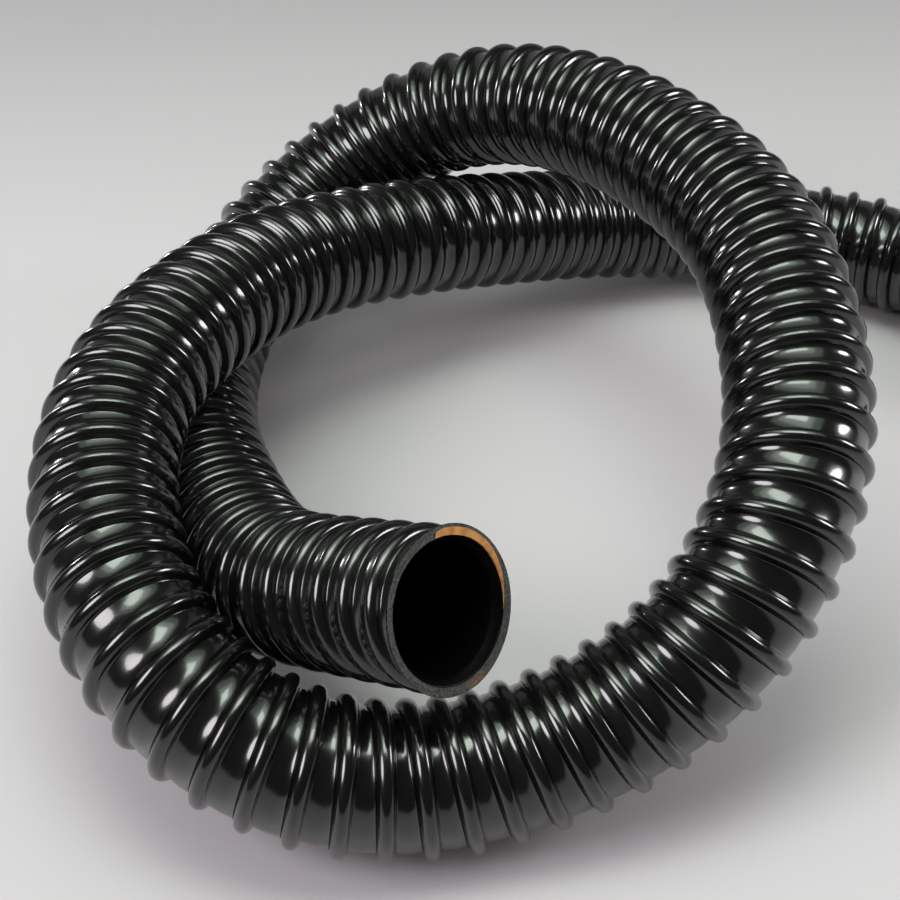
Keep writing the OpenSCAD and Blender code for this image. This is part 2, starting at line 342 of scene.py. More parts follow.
def spline_point(points, t):
    """A uniform cubic B-spline through four points, t from 0 to 1."""
    weights = (
        (1 - t) ** 3,
        3 * t**3 - 6 * t**2 + 4,
        -3 * t**3 + 3 * t**2 + 3 * t + 1,
        t**3,
    )
    return sum((w * p for w, p in zip(weights, points)), Vector((0, 0, 0))) / 6


def centreline():
    """The hose's centreline, from the cut end's mouth to the far end's, in the part's frame."""
    route = [Vector(p) for p in ROUTE]
    steer = [2 * route[0] - route[1], *route, 2 * route[-1] - route[-2]]
    points = [
        spline_point(steer[k : k + 4], i / CURVE_STEPS)
        for k in range(len(route) - 1)
        for i in range(CURVE_STEPS)
    ]
    points.append(route[-1])
    start = route[0] + (route[0] - route[1]).normalized() * END_LENGTH
    end = route[-1] + (route[-1] - route[-2]).normalized() * END_LENGTH
    steps = range(CURVE_STEPS)
    points = [start.lerp(points[0], i / CURVE_STEPS) for i in steps] + points
    points += [points[-1].lerp(end, (i + 1) / CURVE_STEPS) for i in steps]
    shift = MOUTH - start
    shift.z = 0
    return [p + shift for p in points], shift


CENTRE, SHIFT = centreline()
HOSE_LENGTH = sum((b - a).length for a, b in zip(CENTRE, CENTRE[1:]))


# Materials


def new_material(name):
    """An empty material and its node tree."""
    material = bpy.data.materials.new(name)
    material.use_nodes = True
    material.node_tree.nodes.clear()
    return material, material.node_tree


def set_ramp(node, stops):
    """Gives a colour ramp its two stops, each a position and a hex colour."""
    for element, (position, colour) in zip(node.color_ramp.elements, stops):
        element.position = position
        element.color = linear(colour)


def extruded_pvc():
    """Flexible PVC, extruded hot over the core: near black, softly glossy under a wet-looking skin.

    The skin cools unevenly, so the gloss carries faint waves, 14 mm long, and a grain, drawn as
    coarse as 0.9 mm so that it shows.
    """
    material, tree = new_material("extruded_flexible_pvc")
    place = add_node(tree, "ShaderNodeTexCoord").outputs["Object"]
    waves = add_node(
        tree, "ShaderNodeTexNoise", {"Vector": place, "Scale": 1 / (14 * MM), "Detail": 2.0}
    )
    grain = add_node(
        tree, "ShaderNodeTexNoise", {"Vector": place, "Scale": 1 / (0.9 * MM), "Detail": 3.0}
    )
    rough = add_node(
        tree,
        MAP_RANGE,
        {"Value": waves, "From Min": 0.35, "From Max": 0.7, "To Min": 0.17, "To Max": 0.24},
    )
    tone = add_node(
        tree,
        "ShaderNodeMix",
        {"Factor": waves, MIX_A: linear("#050505"), MIX_B: linear("#0b0b0a")},
        data_type="RGBA",
    )
    ripple = add_node(
        tree, "ShaderNodeBump", {"Strength": 0.1, "Distance": 0.2 * MM, "Height": waves}
    )
    peel = add_node(
        tree,
        "ShaderNodeBump",
        {"Strength": 0.05, "Distance": 0.05 * MM, "Height": grain, "Normal": ripple},
    )
    shader = add_node(
        tree,
        "ShaderNodeBsdfPrincipled",
        {
            "Base Color": tone.outputs[MIXED],
            "Roughness": rough,
            "IOR": 1.53,
            "Coat Weight": 0.45,
            "Coat Roughness": 0.04,
            "Coat IOR": 1.5,
            "Normal": peel,
            "Coat Normal": peel,
        },
    )
    add_node(tree, "ShaderNodeOutputMaterial", {"Surface": shader})
    return material


def smooth_liner_pvc():
    """Flexible PVC drawn over a mandrel: smooth, dulled by dust, so the bore looks all black."""
    material, tree = new_material("smooth_liner_pvc")
    place = add_node(tree, "ShaderNodeTexCoord").outputs["Object"]
    dust = add_node(
        tree, "ShaderNodeTexNoise", {"Vector": place, "Scale": 1 / (3 * MM), "Detail": 4.0}
    )
    rough = add_node(
        tree,
        MAP_RANGE,
        {"Value": dust, "From Min": 0.3, "From Max": 0.7, "To Min": 0.5, "To Max": 0.65},
    )
    shader = add_node(
        tree,
        "ShaderNodeBsdfPrincipled",
        {
            "Base Color": linear("#020202"),
            "Roughness": rough,
            "IOR": 1.5,
            "Specular IOR Level": 0.05,
        },
    )
    add_node(tree, "ShaderNodeOutputMaterial", {"Surface": shader})
    return material


def sawn_pvc():
    """The cover's PVC where a saw has cut it: torn, matt and grey, in half-millimetre grains."""
    material, tree = new_material("sawn_pvc")
    place = add_node(tree, "ShaderNodeTexCoord").outputs["Object"]
    torn = add_node(
        tree, "ShaderNodeTexNoise", {"Vector": place, "Scale": 1 / (0.5 * MM), "Detail": 5.0}
    )
    tone = add_node(tree, "ShaderNodeValToRGB", {"Fac": torn})
    set_ramp(tone, [(0.38, "#111211"), (0.64, "#4b4c48")])
    # Where the core's strip had just left the cut, the saw smeared some of it over the ring
    off = add_node(tree, VECTOR_MATH, [place, SMEAR], operation="DISTANCE").outputs["Value"]
    near = add_node(
        tree,
        MAP_RANGE,
        {"Value": off, "From Min": 2 * MM, "From Max": 7 * MM, "To Min": 1.0, "To Max": 0.0},
    )
    smeared = add_node(tree, MATH, [near, torn], operation="MULTIPLY", use_clamp=True)
    tinted = add_node(
        tree,
        "ShaderNodeMix",
        {"Factor": smeared, MIX_A: tone, MIX_B: linear("#8a6236")},
        data_type="RGBA",
    )
    bump = add_node(
        tree, "ShaderNodeBump", {"Strength": 0.7, "Distance": 0.3 * MM, "Height": torn}
    )
    shader = add_node(
        tree,
        "ShaderNodeBsdfPrincipled",
        {
            "Base Color": tinted.outputs[MIXED],
            "Roughness": 0.6,
            "IOR": 1.53,
            "Normal": bump,
        },
    )
    add_node(tree, "ShaderNodeOutputMaterial", {"Surface": shader})
    return material


def rigid_core_pvc():
    """Rigid PVC, extruded in an orange tan and sawn through: waxy, with paler scuffs."""
    material, tree = new_material("rigid_core_pvc")
    place = add_node(tree, "ShaderNodeTexCoord").outputs["Object"]
    scuff = add_node(
        tree, "ShaderNodeTexNoise", {"Vector": place, "Scale": 1 / (2.5 * MM), "Detail": 4.0}
    )
    tone = add_node(tree, "ShaderNodeValToRGB", {"Fac": scuff})
    set_ramp(tone, [(0.3, "#8c5a28"), (0.7, "#bd8448")])
    bump = add_node(
        tree, "ShaderNodeBump", {"Strength": 0.3, "Distance": 0.1 * MM, "Height": scuff}
    )
    shader = add_node(
        tree,
        "ShaderNodeBsdfPrincipled",
        {"Base Color": tone, "Roughness": 0.45, "IOR": 1.54, "Normal": bump},
    )
    add_node(tree, "ShaderNodeOutputMaterial", {"Surface": shader})
    return material


def painted_board(settings):
    """A pale grey painted board for the hose to lie on, evenly matt, with painted shade darkening it towards its back.
    """
    material, tree = new_material("painted_board")
    place = add_node(tree, "ShaderNodeTexCoord").outputs["Object"]
    split = add_node(tree, "ShaderNodeSeparateXYZ", [place])
    # Painted shade: the board's tone darkens towards its back, as if less lamp light reached it there
    shade = add_node(
        tree,
        MAP_RANGE,
        {
            "Value": split.outputs["Y"],
            "From Min": BOARD_SHADE_SPAN[0],
            "From Max": BOARD_SHADE_SPAN[1],
            "To Min": 1.0,
            "To Max": BOARD_SHADED_SHARE,
        },
    )
    tone = add_node(
        tree, VECTOR_MATH, {0: settings.floor_colour, "Scale": shade}, operation="SCALE"
    )
    shader = add_node(
        tree, "ShaderNodeBsdfPrincipled", {"Base Color": tone, "Roughness": 0.55, "IOR": 1.45}
    )
    add_node(tree, "ShaderNodeOutputMaterial", {"Surface": shader})
    return material


# Geometry Nodes


def new_tree(name, inputs):
    """A geometry tree with named inputs, its group input, and each socket's identifier."""
    tree = bpy.data.node_groups.new(name, "GeometryNodeTree")
    tree.interface.new_socket("Geometry", in_out="INPUT", socket_type="NodeSocketGeometry")
    tree.interface.new_socket("Geometry", in_out="OUTPUT", socket_type="NodeSocketGeometry")
    identifiers = {}
    for label, kind in inputs.items():
        socket = tree.interface.new_socket(label, in_out="INPUT", socket_type=kind)
        identifiers[label] = socket.identifier
    return tree, tree.nodes.new("NodeGroupInput"), identifiers


def unit_grid(tree, columns, rows):
    """A grid to wrap, and how far each of its points lies along its two sides, from 0 to 1."""
    grid = add_node(
        tree,
        "GeometryNodeMeshGrid",
        {"Size X": 1.0, "Size Y": 1.0, "Vertices X": columns, "Vertices Y": rows},
    )
    place = add_node(tree, "GeometryNodeInputPosition")
    moved = add_node(tree, VECTOR_MATH, [place, (0.5, 0.5, 0.0)], operation="ADD")
    split = add_node(tree, "ShaderNodeSeparateXYZ", [moved])
    return grid, split.outputs["X"], split.outputs["Y"]


def outward(tree, tangent, turn):
    """The direction out of the hose at a turn from its left side, over its top."""
    across = add_node(tree, VECTOR_MATH, [(0.0, 0.0, 1.0), tangent], operation="CROSS_PRODUCT")
    left = add_node(tree, VECTOR_MATH, [across], operation="NORMALIZE")
    up = add_node(tree, VECTOR_MATH, [tangent, left], operation="CROSS_PRODUCT")
    angle = add_node(tree, MATH, [turn, math.tau], operation="MULTIPLY")
    parts = []
    for direction, part in ((left, "COSINE"), (up, "SINE")):
        share = add_node(tree, MATH, [angle], operation=part)
        parts.append(add_node(tree, VECTOR_MATH, {0: direction, "Scale": share}, operation="SCALE"))
    return add_node(tree, VECTOR_MATH, parts, operation="ADD")


def wrap_round_hose(tree, curve, grid, distance, turn, radius):
    """Moves a grid's points to a distance along the hose, a turn round it, and a radius.

    A point before the hose's start or past its end lies on the straight line that goes on there.
    """
    length = add_node(tree, "GeometryNodeCurveLength", [curve])
    inside = add_node(tree, "ShaderNodeClamp", {"Value": distance, "Min": 0.0, "Max": length})
    centre = add_node(
        tree,
        "GeometryNodeSampleCurve",
        {"Curves": curve, "Length": inside},
        mode="LENGTH",
        use_all_curves=True,
    )
    tangent = centre.outputs["Tangent"]
    past = add_node(tree, MATH, [distance, inside], operation="SUBTRACT")
    beyond = add_node(tree, VECTOR_MATH, {0: tangent, "Scale": past}, operation="SCALE")
    direction = outward(tree, tangent, turn)
    out = add_node(tree, VECTOR_MATH, {0: direction, "Scale": radius}, operation="SCALE")
    place = add_node(tree, VECTOR_MATH, [centre.outputs["Position"], beyond], operation="ADD")
    place = add_node(tree, VECTOR_MATH, [place, out], operation="ADD")
    return add_node(tree, "GeometryNodeSetPosition", {"Geometry": grid, "Position": place})


def looked_up(tree, share, table, unit=1.0):
    """What a table of shares and values gives for a share, straight between its rows."""
    low = min(value for _, value in table)
    high = max(value for _, value in table)
    points = [(step, (value - low) / (high - low)) for step, value in table]
    found = add_node(tree, "ShaderNodeFloatCurve", {"Value": share})
    line = found.mapping.curves[0]
    line.points[0].location = points[0]
    line.points[1].location = points[-1]
    for point in points[1:-1]:
        line.points.new(*point)
    for point in line.points:
        point.handle_type = "VECTOR"
    found.mapping.update()
    return add_node(tree, MAP_RANGE, {"Value": found, "To Min": low * unit, "To Max": high * unit})


def loop_tables(loop):
    """The two columns of a closed loop of points, each by the share of the way round it."""
    closed = [*loop, loop[0]]
    steps = [i / len(loop) for i in range(len(closed))]
    return [[(step, point[column]) for step, point in zip(steps, closed)] for column in (0, 1)]


def rib_tables():
    """The rib's section as tables: phase by row, height by row, and height by phase.

    Rows and phases run from 0 to 1 over a pitch, and heights are in mm.
    """
    pitch = RIB_PITCH / MM
    rows = [i / len(RIB_SECTION) for i in range(len(RIB_SECTION))]
    phases = [(x + pitch / 2) / pitch for x, _ in RIB_SECTION]
    heights = [height for _, height in RIB_SECTION]
    return (
        [*zip(rows, phases), (1.0, 1.0)],
        [*zip(rows, heights), (1.0, heights[0])],
        [*zip(phases, heights), (1.0, heights[0])],
    )


def rib_height(tree, distance, turn, group):
    """The rib's height where a point at that distance and turn meets its spiral."""
    from_start = add_node(tree, MATH, [distance, group.outputs["Rib Start"]], operation="SUBTRACT")
    ribs = add_node(tree, MATH, [from_start, group.outputs["Rib Pitch"]], operation="DIVIDE")
    unwound = add_node(tree, MATH, [ribs, turn], operation="SUBTRACT")
    from_web = add_node(tree, MATH, [unwound, 0.5], operation="ADD")
    phase = add_node(tree, MATH, [from_web], operation="FRACT")
    return looked_up(tree, phase, rib_tables()[2], MM)


def rib_radius(tree, distance, turn, group):
    """The cover's outer radius at a distance and turn."""
    height = rib_height(tree, distance, turn, group)
    return add_node(tree, MATH, [height, group.outputs["Web Radius"]], operation="ADD")


def bend_share(tree, curve, distance, turn):
    """How much of the centreline a length on the crest takes up at a distance and turn."""
    tangents = []
    for step in (-BEND_REACH, 0.0, BEND_REACH):
        near = add_node(tree, MATH, [distance, step], operation="ADD")
        sample = add_node(
            tree,
            "GeometryNodeSampleCurve",
            {"Curves": curve, "Length": near},
            mode="LENGTH",
            use_all_curves=True,
        )
        tangents.append(sample.outputs["Tangent"])
    before, tangent, after = tangents
    change = add_node(tree, VECTOR_MATH, [after, before], operation="SUBTRACT")
    out = outward(tree, tangent, turn)
    towards = add_node(tree, VECTOR_MATH, [change, out], operation="DOT_PRODUCT").outputs["Value"]
    squeeze = add_node(tree, MATH, [towards, CREST_R / (2 * BEND_REACH)], operation="MULTIPLY")
    left = add_node(tree, MATH, [1.0, squeeze], operation="SUBTRACT")
    share = add_node(tree, MATH, [1.0, left], operation="DIVIDE")
    return add_node(tree, MATH, [share, BEND_LIMIT], operation="MINIMUM")


def mouth_spread(tree, distance, power):
    """How far the cut end's mouth is spread at a distance, from 1 in the cut to 0."""
    share = add_node(
        tree,
        MAP_RANGE,
        {"Value": distance, "From Max": MOUTH_DEPTH, "To Min": 1.0, "To Max": 0.0},
    )
    return add_node(tree, MATH, [share, power], operation="POWER")


def bore_radius(tree, distance, turn, wall):
    """The bore's radius, or that of a wall round it, spread at the cut end's mouth."""
    spread = mouth_spread(tree, distance, MOUTH_FLARE)
    mouth = looked_up(tree, turn, MOUTH_BORE, MM)
    more = add_node(tree, MATH, [mouth, BORE_R], operation="SUBTRACT")
    return add_node(tree, MATH, [more, spread, BORE_R + wall], operation="MULTIPLY_ADD")


def tube_sheet(tree, curve, wall, inward):
    """A plain tube along the whole hose, a wall's thickness outside the bore."""
    grid, along, turn = unit_grid(tree, LINER_RINGS + 1, SIDES + 1)
    ring = add_node(tree, MATH, [along, float(LINER_RINGS)], operation="MULTIPLY")
    # The first rings lie close together, in the spread mouth
    first = add_node(tree, MATH, [ring, float(MOUTH_RINGS)], operation="DIVIDE")
    first = add_node(tree, MATH, [first, 1.0], operation="MINIMUM")
    mouth = add_node(tree, MATH, [first, MOUTH_DEPTH], operation="MULTIPLY")
    rest = add_node(tree, MATH, [ring, float(MOUTH_RINGS)], operation="SUBTRACT")
    rest = add_node(tree, MATH, [rest, 0.0], operation="MAXIMUM")
    length = add_node(tree, "GeometryNodeCurveLength", [curve])
    step = add_node(tree, MATH, [length, MOUTH_DEPTH], operation="SUBTRACT")
    step = add_node(tree, MATH, [step, float(LINER_RINGS - MOUTH_RINGS)], operation="DIVIDE")
    distance = add_node(tree, MATH, [rest, step, mouth], operation="MULTIPLY_ADD")
    radius = bore_radius(tree, distance, turn, wall)
    sheet = wrap_round_hose(tree, curve, grid, distance, turn, radius)
    return add_node(tree, "GeometryNodeFlipFaces", [sheet]) if inward else sheet


def end_ring(tree, curve, wall, outer, at_far_end):
    """A flat ring that closes a wall at one end.

    outer gives the outer radius for a distance and a turn.
    """
    grid, share, turn = unit_grid(tree, 2, SIDES + 1)
    length = add_node(tree, "GeometryNodeCurveLength", [curve])
    distance = add_node(tree, MATH, [length, float(at_far_end)], operation="MULTIPLY")
    inner = bore_radius(tree, distance, turn, wall)
    radius = add_node(
        tree, MAP_RANGE, {"Value": share, "To Min": inner, "To Max": outer(distance, turn)}
    )
    ring = wrap_round_hose(tree, curve, grid, distance, turn, radius)
    return ring if at_far_end else add_node(tree, "GeometryNodeFlipFaces", [ring])


def ring_solid(tree, curve, loop, sides, inner, outer, at_far_end):
    """A solid ring at one end.

    Its section is a closed loop of points. Each has a distance into the hose, in mm, and a share
    of the way from the inner to the outer radius, which depend on the turn.
    """
    grid, along, turn = unit_grid(tree, len(loop) + 1, sides + 1)
    depths, shares = loop_tables(loop)
    distance = looked_up(tree, along, depths, MM)
    if at_far_end:
        length = add_node(tree, "GeometryNodeCurveLength", [curve])
        distance = add_node(tree, MATH, [length, distance], operation="SUBTRACT")
    share = looked_up(tree, along, shares)
    start = inner(turn)
    width = add_node(tree, MATH, [outer(turn), start], operation="SUBTRACT")
    radius = add_node(tree, MATH, [share, width, start], operation="MULTIPLY_ADD")
    ring = wrap_round_hose(tree, curve, grid, distance, turn, radius)
    return ring if at_far_end else add_node(tree, "GeometryNodeFlipFaces", [ring])


def close_up(tree, sheets, material, tear=None):
    """Joins sheets into closed walls, smooth but for their rims, and gives them their material.

    tear roughens them by a distance, in grains of a size.
    """
    joined = add_node(tree, "GeometryNodeJoinGeometry")
    for sheet in sheets:
        tree.links.new(sheet.outputs[0], joined.inputs[0])
    walls = add_node(tree, "GeometryNodeMergeByDistance", {"Geometry": joined, "Distance": WELD})
    if tear:
        reach, grain = tear
        noise = add_node(tree, "ShaderNodeTexNoise", {"Scale": 1 / grain, "Detail": 3.0})
        offset = add_node(
            tree, VECTOR_MATH, [noise.outputs["Color"], (0.5, 0.5, 0.5)], operation="SUBTRACT"
        )
        # The noise seldom goes past a quarter either way
        offset = add_node(tree, VECTOR_MATH, {0: offset, "Scale": 4 * reach}, operation="SCALE")
        walls = add_node(tree, "GeometryNodeSetPosition", {"Geometry": walls, "Offset": offset})
    angle = add_node(tree, "GeometryNodeInputMeshEdgeAngle")
    gentle = add_node(
        tree,
        "FunctionNodeCompare",
        [angle, RIM_ANGLE],
        operation="LESS_THAN",
        data_type="FLOAT",
    )
    rims = add_node(
        tree,
        "GeometryNodeSetShadeSmooth",
        {"Geometry": walls, "Shade Smooth": gentle},
        domain="EDGE",
    )
    faces = add_node(
        tree,
        "GeometryNodeSetShadeSmooth",
        {"Geometry": rims, "Shade Smooth": True},
        domain="FACE",
    )
    real = add_node(tree, "GeometryNodeRealizeInstances", [faces])
    dressed = add_node(tree, "GeometryNodeSetMaterial", {"Geometry": real, "Material": material})
    add_node(tree, "NodeGroupOutput", [dressed])


def route_object(name):
    """A curve object that runs along the centreline."""
    curve = bpy.data.curves.new(name, "CURVE")
    curve.dimensions = "3D"
    spline = curve.splines.new("POLY")
    spline.points.add(len(CENTRE) - 1)
    for point, place in zip(spline.points, CENTRE):
        point.co = (*place, 1.0)
    built = bpy.data.objects.new(name, curve)
    bpy.context.scene.collection.objects.link(built)
    return built


def bake(name, tree, values):
    """Runs the tree on the centreline, and returns the plain mesh object that comes of it."""
    built = route_object(name)
    modifier = built.modifiers.new("build", "NODES")
    modifier.node_group = tree
    for identifier, value in values.items():
        modifier[identifier] = value
    graph = bpy.context.evaluated_depsgraph_get()
    mesh = bpy.data.meshes.new_from_object(built.evaluated_get(graph))
    data = built.data
    bpy.data.objects.remove(built)
    bpy.data.curves.remove(data)
    mesh.name = name
    piece = bpy.data.objects.new(name, mesh)
    bpy.context.scene.collection.objects.link(piece)
    return piece


def rib_inputs(settings):
    """The named inputs that steer the rib's spiral, and their values."""
    inputs = {
        "Rib Pitch": "NodeSocketFloat",
        "Rib Start": "NodeSocketFloat",
        "Web Radius": "NodeSocketFloat",
    }
    values = {
        "Rib Pitch": settings.rib_pitch,
        "Rib Start": settings.rib_start,
        "Web Radius": WEB_R,
    }
    return inputs, values


def by_identifier(sockets, values):
    """The inputs' values by their sockets' identifiers."""
    return {sockets[label]: value for label, value in values.items()}


def rib_rows(tree, curve, group):
    """The cover's outside: rows of points that follow the rib's spiral."""
    rows = float(len(RIB_SECTION))
    last_row = add_node(tree, MATH, [group.outputs["Ribs"], rows], operation="MULTIPLY")
    columns = add_node(tree, MATH, [last_row, 1.0], operation="ADD")
    grid, along, turn = unit_grid(tree, columns, SIDES + 1)
    row = add_node(tree, MATH, [along, last_row], operation="MULTIPLY")
    row = add_node(tree, MATH, [row], operation="ROUND")
    # The quarter keeps a whole number of ribs from being rounded down
    whole = add_node(tree, MATH, [row, 0.25], operation="ADD")
    whole = add_node(tree, MATH, [whole, rows], operation="DIVIDE")
    whole = add_node(tree, MATH, [whole], operation="FLOOR")
    counted = add_node(tree, MATH, [whole, rows], operation="MULTIPLY")
    left_over = add_node(tree, MATH, [row, counted], operation="SUBTRACT")
    share = add_node(tree, MATH, [left_over, rows], operation="DIVIDE")
    phase_by_row, height_by_row, _ = rib_tables()
    phase = looked_up(tree, share, phase_by_row)
    off_crest = add_node(tree, MATH, [phase, 0.5], operation="SUBTRACT")
    # The spare ribs lie ahead of the mouth, where the clamp folds them away
    rib = add_node(tree, MATH, [whole, float(SPARE_RIBS)], operation="SUBTRACT")
    rib = add_node(tree, MATH, [rib, turn], operation="ADD")
    pitch, start = group.outputs["Rib Pitch"], group.outputs["Rib Start"]
    crest = add_node(tree, MATH, [rib, pitch, start], operation="MULTIPLY_ADD")
    # The middle of a web stays where it is, so neighbouring ribs meet there
    mid_web = add_node(tree, MATH, [left_over, 0.5], operation="LESS_THAN")
    bend = bend_share(tree, curve, crest, turn)
    bend = add_node(tree, MAP_RANGE, {"Value": mid_web, "To Min": bend, "To Max": 1.0})
    offset = add_node(tree, MATH, [off_crest, pitch], operation="MULTIPLY")
    spread = add_node(tree, MATH, [offset, bend, crest], operation="MULTIPLY_ADD")
    length = add_node(tree, "GeometryNodeCurveLength", [curve])
    distance = add_node(tree, "ShaderNodeClamp", {"Value": spread, "Min": 0.0, "Max": length})
    # A row that the clamp moved takes the height that the spiral has in the cut
    kept = add_node(tree, MATH, [spread, distance, SAME_PLACE], operation="COMPARE")
    in_cut = rib_height(tree, distance, turn, group)
    by_row = looked_up(tree, share, height_by_row, MM)
    height = add_node(tree, MAP_RANGE, {"Value": kept, "To Min": in_cut, "To Max": by_row})
    radius = add_node(tree, MATH, [height, group.outputs["Web Radius"]], operation="ADD")
    return wrap_round_hose(tree, curve, grid, distance, turn, radius)


def cover_tree(settings, material):
    """The outer skin: its ribbed outside, an inner wall, and the lip round the sawn mouth."""
    inputs, values = rib_inputs(settings)
    inputs["Ribs"] = "NodeSocketInt"
    values["Ribs"] = math.ceil(HOSE_LENGTH / settings.rib_pitch) + 2 * SPARE_RIBS
    tree, group, sockets = new_tree("ribbed_cover", inputs)
    curve = group.outputs["Geometry"]

    def rim(distance, turn):
        return rib_radius(tree, distance, turn, group)

    sheets = [
        rib_rows(tree, curve, group),
        tube_sheet(tree, curve, LINER_T, True),
        end_ring(tree, curve, LINER_T, rim, False),
        end_ring(tree, curve, LINER_T, rim, True),
        ring_solid(
            tree,
            curve,
            LIP_SECTION,
            SIDES,
            lambda turn: WEB_R,
            lambda turn: looked_up(tree, turn, MOUTH_LIP, MM),
            False,
        ),
    ]
    close_up(tree, sheets, material)
    return tree, by_identifier(sockets, values)


def liner_tree(material):
    """The inner wall: two smooth tubes, closed by a flat ring at each end."""
    tree, group, _ = new_tree("smooth_liner", {})
    curve = group.outputs["Geometry"]

    def outside(distance, turn):
        return bore_radius(tree, distance, turn, LINER_T)

    sheets = [
        tube_sheet(tree, curve, LINER_T, False),
        tube_sheet(tree, curve, 0.0, True),
        end_ring(tree, curve, 0.0, outside, False),
        end_ring(tree, curve, 0.0, outside, True),
    ]
    close_up(tree, sheets, material)
    return tree, {}


def face_tree(settings, material, at_far_end):
    """The torn surface that the saw left on one end."""
    inputs, values = rib_inputs(settings)
    tree, group, sockets = new_tree("sawn_face", inputs)
    curve = group.outputs["Geometry"]

    def inner(turn):
        return BORE_R if at_far_end else looked_up(tree, turn, MOUTH_BORE, MM)

    def outer(turn):
        if at_far_end:
            length = add_node(tree, "GeometryNodeCurveLength", [curve])
            edge, inset = rib_radius(tree, length, turn, group), FAR_FACE_INSET
        else:
            edge, inset = looked_up(tree, turn, MOUTH_LIP, MM), CUT_FACE_INSET
        return add_node(tree, MATH, [edge, inset], operation="SUBTRACT")

    front = [(FACE_FRONT, i / FACE_RINGS) for i in range(FACE_RINGS + 1)]
    ring = ring_solid(tree, curve, front + FACE_BACK, FACE_SIDES, inner, outer, at_far_end)
    close_up(tree, [ring], material, tear=(TEAR_REACH, TEAR_GRAIN))
    return tree, by_identifier(sockets, values)


def core_tree(settings, material, at_far_end):
    """The rigid strip's last turns, which the saw cut slantwise."""
    inputs, values = rib_inputs(settings)
    tree, group, sockets = new_tree("rigid_core", inputs)
    curve = group.outputs["Geometry"]
    pitch, start = group.outputs["Rib Pitch"], group.outputs["Rib Start"]
    steps = CORE_TURNS * CORE_STEPS
    grid, along, around = unit_grid(tree, steps + 1, len(CORE_SECTION) + 1)
    # The strip runs on for half a turn past the cut
    length = add_node(tree, "GeometryNodeCurveLength", [curve])
    end = add_node(tree, MATH, [length, float(at_far_end)], operation="MULTIPLY")
    from_start = add_node(tree, MATH, [end, start], operation="SUBTRACT")
    ribs = add_node(tree, MATH, [from_start, pitch], operation="DIVIDE")
    first = 0.5 - CORE_TURNS if at_far_end else -0.5
    turns = add_node(tree, MATH, [along, float(CORE_TURNS), first], operation="MULTIPLY_ADD")
    turns = add_node(tree, MATH, [turns, ribs], operation="ADD")
    offsets, radii = loop_tables(CORE_SECTION)
    off_crest = looked_up(tree, around, offsets, MM)
    radius = looked_up(tree, around, radii, MM)
    foot = min(r for _, r in radii) * MM
    top = max(r for _, r in radii) * MM
    # Both ends taper to a point over one step, so the strip is closed
    back = add_node(tree, MATH, [1.0, along], operation="SUBTRACT")
    nearer = add_node(tree, MATH, [along, back], operation="MINIMUM")
    full = add_node(tree, MATH, [nearer, float(steps)], operation="MULTIPLY")
    off_crest = add_node(tree, MAP_RANGE, {"Value": full, "To Min": 0.0, "To Max": off_crest})
    middle = (foot + top) / 2
    radius = add_node(tree, MAP_RANGE, {"Value": full, "To Min": middle, "To Max": radius})
    crest = add_node(tree, MATH, [turns, pitch, start], operation="MULTIPLY_ADD")
    distance = add_node(tree, MATH, [crest, off_crest], operation="ADD")
    if not at_far_end:
        # The spread mouth carries the strip out with it
        turn = add_node(tree, MATH, [turns], operation="FRACT")
        mouth = looked_up(tree, turn, MOUTH_BORE, MM)
        more = add_node(tree, MATH, [mouth, foot], operation="SUBTRACT")
        more = add_node(tree, MATH, [more, 0.0], operation="MAXIMUM")
        spread = mouth_spread(tree, distance, 1.0)
        radius = add_node(tree, MATH, [more, spread, radius], operation="MULTIPLY_ADD")
        distance = add_node(tree, MATH, [distance, CORE_PROUD], operation="SUBTRACT")
    strip = wrap_round_hose(tree, curve, grid, distance, turns, radius)
    # What is left of the strip is what lies in this ring, from just before the cut
    proud = CORE_PROUD / MM
    section = [(-proud, 1.0), (CORE_DEPTH, 1.0), (CORE_DEPTH, 0.0), (-proud, 0.0)]
    room = ring_solid(
        tree, curve, section, SIDES, lambda turn: BORE_R, lambda turn: 2 * BORE_R, at_far_end
    )
    cut = add_node(tree, "GeometryNodeMeshBoolean", operation="INTERSECT", solver="EXACT")
    for sheet in (strip, room):
        whole = add_node(
            tree, "GeometryNodeMergeByDistance", {"Geometry": sheet, "Distance": CUT_WELD}
        )
        tree.links.new(whole.outputs[0], cut.inputs["Mesh 2"])
    close_up(tree, [cut], material)
    return tree, by_identifier(sockets, values)


# Settings, operators and panel


class HoseSettings(bpy.types.PropertyGroup):
    """Sizes and colours of the hose that a user would change."""

    rib_pitch: FloatProperty(
        name="Rib Pitch",
        description="Distance from one rib to the next",
        default=RIB_PITCH,
        unit="LENGTH",
    )
    rib_start: FloatProperty(
        name="Rib Start",
        description="Distance of the first crest from the cut end, on the hose's left side",
        default=RIB_START,
        unit="LENGTH",
    )
    floor_colour: FloatVectorProperty(
        name="Floor",
        description="Colour of the board that the hose lies on",
        default=linear("#aaa6a9")[:3],
        subtype="COLOR",
        size=3,
    )


class HOSE_OT_stage(bpy.types.Operator):
    """Adds the camera, the board, the lamps and the room"""

    bl_idname = "hose.stage"
    bl_label = "Stage"

    def execute(self, context):
        settings = context.scene.hose_settings
        add_camera(context)
        add_floor(context, settings)
        add_lamps(context)
        add_room(context)
        return {"FINISHED"}


def add_camera(context):
    lens = bpy.data.cameras.new("camera")
    lens.lens = CAMERA_LENS
    lens.sensor_width = CAMERA_SENSOR
    lens.clip_start = CAMERA_NEAR
    camera = bpy.data.objects.new("camera", lens)
    camera.location = Vector(CAMERA_PLACE) + SHIFT
    camera.rotation_euler = (math.radians(90 - CAMERA_TILT), 0, 0)
    context.scene.collection.objects.link(camera)
    context.scene.camera = camera


